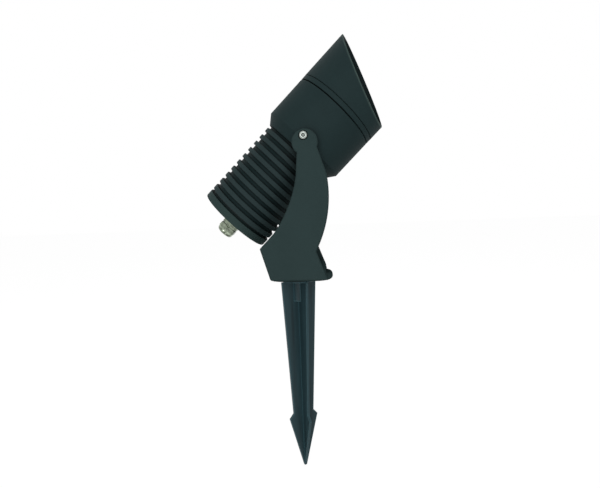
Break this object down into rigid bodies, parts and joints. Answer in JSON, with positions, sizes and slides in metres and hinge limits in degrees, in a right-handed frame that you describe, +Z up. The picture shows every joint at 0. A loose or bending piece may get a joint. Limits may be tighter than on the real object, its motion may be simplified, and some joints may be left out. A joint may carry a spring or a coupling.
{
  "type": "garden spike spotlight",
  "caption": "Round finned spotlight head with a slanted glare hood, tilting in a two-armed yoke on a barbed ground spike.",
  "frame": {"origin": "on the ground spike's axis, at the underside of its top plate, where the soil's surface is when the spike is pushed home", "axes": "+Z up along the spike's axis, +X the side that the head aims at, +Y along the tilt axis to the left of the beam"},
  "size_m": [0.1783, 0.1048, 0.4389],
  "materials": {
    "spike_plastic": "moulded, slightly sheened",
    "painted_bracket": "fine matt powder coat",
    "painted_housing": "fine matt powder coat",
    "stainless_steel": "bright",
    "nickel_brass": "nickel plated",
    "nylon": "matt",
    "seal_rubber": "matt",
    "thermal_pad_grey": "matt",
    "led_board_white": "solder mask",
    "led_ceramic": "matt",
    "led_phosphor": "gloss",
    "holder_white": "matt",
    "lead_red": "gloss",
    "reflector_silver": "polished",
    "driver_potting": "matt",
    "terminal_grey": "matt",
    "front_glass": "clear"
  },
  "bodies": {
    "spike": {"ground_spike": "spike_plastic", "swivel_washer": "nylon", "spike_washer": "stainless_steel", "lock_washer": "stainless_steel", "spike_screw": "stainless_steel"},
    "bracket": {"yoke_bracket": "painted_bracket", "pivot_bushes": "nylon"},
    "head": {"lamp_cup": "painted_housing", "heat_sink_body": "painted_housing", "rear_cap": "painted_housing", "front_bezel": "painted_housing", "housing_screws": "stainless_steel", "rear_cap_screws": "stainless_steel", "led_screws": "stainless_steel", "pivot_screws": "stainless_steel", "snap_ring": "stainless_steel", "gland_body": "nickel_brass", "gland_nut": "nickel_brass", "gland_locknut": "nickel_brass", "pivot_washers": "nylon", "cup_seal": "seal_rubber", "rear_gasket": "seal_rubber", "gland_washer": "seal_rubber", "gland_seal": "seal_rubber", "lens_gasket": "seal_rubber", "bezel_seal": "seal_rubber", "thermal_pad": "thermal_pad_grey", "led_board": "led_board_white", "led_chip": "led_ceramic", "led_emitter": "led_phosphor", "led_holder": "holder_white", "led_leads": "lead_red", "reflector": "reflector_silver", "driver_module": "driver_potting", "terminal_block": "terminal_grey", "lens_glass": "front_glass"},
    "hood": {"glare_hood": "painted_housing"}
  },
  "joints": [
    {"name": "bracket_swivel", "type": "hinge", "parent": "spike", "child": "bracket", "pos_m": [0, 0, 0], "axis": [0, 0, 1], "continuous": true},
    {"name": "head_tilt", "type": "hinge", "parent": "bracket", "child": "head", "pos_m": [0.0119, 0, 0.1379], "axis": [0, -1, 0], "range_deg": [-134.7, 23]},
    {"name": "hood_twist", "type": "hinge", "parent": "head", "child": "hood", "pos_m": [0.0119, 0, 0.1379], "axis": [0.7108, 0, 0.7034], "continuous": true}
  ]
}
